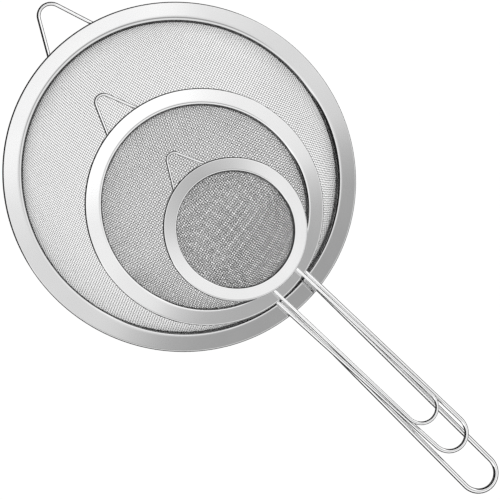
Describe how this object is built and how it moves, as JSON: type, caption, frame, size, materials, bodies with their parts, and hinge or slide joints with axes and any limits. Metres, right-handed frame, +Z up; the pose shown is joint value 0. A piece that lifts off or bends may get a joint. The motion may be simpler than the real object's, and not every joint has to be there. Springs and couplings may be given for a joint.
{
  "type": "nested fine mesh strainer set",
  "caption": "Nested round fine-mesh strainers with broad polished rims, U-shaped wire handles and wire rest ears; each inner one lifts out of the next.",
  "frame": {"origin": "centre of the large strainer's mouth, level with the top of its rim", "axes": "+X along the large strainer's handle, +Z up out of the bowls"},
  "size_m": [0.3714, 0.2, 0.0761],
  "materials": {
    "pressed_steel": "polished pressed stainless steel",
    "bent_wire": "bright drawn stainless steel wire",
    "woven_mesh": "plain woven stainless steel wire cloth"
  },
  "bodies": {
    "large_strainer": {"large_rim": "pressed_steel", "large_mesh_clamp_ring": "pressed_steel", "large_mesh_bowl": "woven_mesh", "large_handle": "bent_wire", "large_rest_ear": "bent_wire"},
    "medium_strainer": {"medium_rim": "pressed_steel", "medium_mesh_clamp_ring": "pressed_steel", "medium_mesh_bowl": "woven_mesh", "medium_handle": "bent_wire", "medium_rest_ear": "bent_wire"},
    "small_strainer": {"small_rim": "pressed_steel", "small_mesh_clamp_ring": "pressed_steel", "small_mesh_bowl": "woven_mesh", "small_handle": "bent_wire", "small_rest_ear": "bent_wire"}
  },
  "joints": [
    {"name": "medium_lift", "type": "slide", "parent": "large_strainer", "child": "medium_strainer", "axis": [0, 0, 1], "range_m": [0, 0.06]},
    {"name": "small_lift", "type": "slide", "parent": "medium_strainer", "child": "small_strainer", "axis": [0, 0, 1], "range_m": [0, 0.035]}
  ]
}
